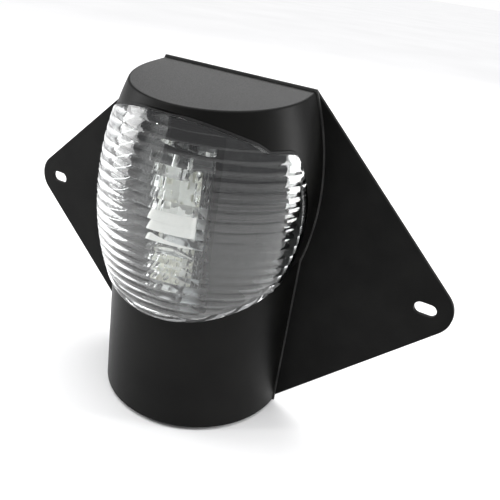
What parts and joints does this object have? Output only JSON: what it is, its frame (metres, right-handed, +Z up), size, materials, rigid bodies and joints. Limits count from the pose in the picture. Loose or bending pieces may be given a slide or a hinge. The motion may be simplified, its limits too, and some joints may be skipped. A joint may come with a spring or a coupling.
{
  "type": "navigation light",
  "caption": "Black masthead light with a clear ribbed lens wrapped round a barrel-shaped housing, a straight column with a deck flood below, on a flat slotted mounting plate.",
  "frame": {"origin": "centre of the two-slot mounting pattern on the plate's back face", "axes": "+Z up the mast, -Y forward (the way the light shines), +X to the right seen from the front"},
  "size_m": [0.2226, 0.0609, 0.1507],
  "materials": {
    "black_plate": "satin black powder coat",
    "black_housing": "satin black moulded plastic",
    "clear_lens": "clear moulded polycarbonate with horizontal ribs",
    "clear_optic": "clear acrylic",
    "black_rubber": "matte",
    "gasket_foam": "matte closed-cell foam",
    "stainless": "brushed stainless steel",
    "grey_plastic": "satin grey moulded plastic",
    "bare_aluminium": "satin",
    "white_plastic": "gloss white",
    "board_white": "white solder mask",
    "board_green": "green solder mask",
    "emitter": "phosphor under clear silicone",
    "component_black": "matt epoxy",
    "connector_white": "moulded nylon",
    "mirror_finish": "vacuum-metallised",
    "lead_red": "PVC insulation",
    "lead_black": "PVC insulation"
  },
  "bodies": {
    "root": {"mounting_plate": "black_plate", "plate_gasket": "gasket_foam", "cable_grommet": "black_rubber", "housing_screws": "stainless", "housing": "black_housing", "lens": "clear_lens", "lens_seal": "black_rubber", "tray": "grey_plastic", "left_screen": "grey_plastic", "right_screen": "grey_plastic", "lamp_bracket": "bare_aluminium", "lamp_connector": "connector_white", "driver_case": "white_plastic", "tier_spacers": "bare_aluminium", "cap_bar": "clear_optic", "cap_screws": "stainless", "upper_core": "bare_aluminium", "upper_boards": "board_white", "upper_emitters": "emitter", "upper_optic": "clear_optic", "lower_core": "bare_aluminium", "lower_boards": "board_white", "lower_emitters": "emitter", "lower_optic": "clear_optic", "flood_bezel": "black_housing", "bezel_screws": "stainless", "flood_gasket": "black_rubber", "flood_window": "clear_optic", "flood_reflector": "mirror_finish", "flood_board": "board_white", "flood_emitters": "emitter", "flood_heat_sink": "bare_aluminium", "driver_board": "board_green", "driver_components": "component_black", "terminal_block": "connector_white", "lead_positive": "lead_red", "lead_negative": "lead_black"}
  },
  "joints": []
}
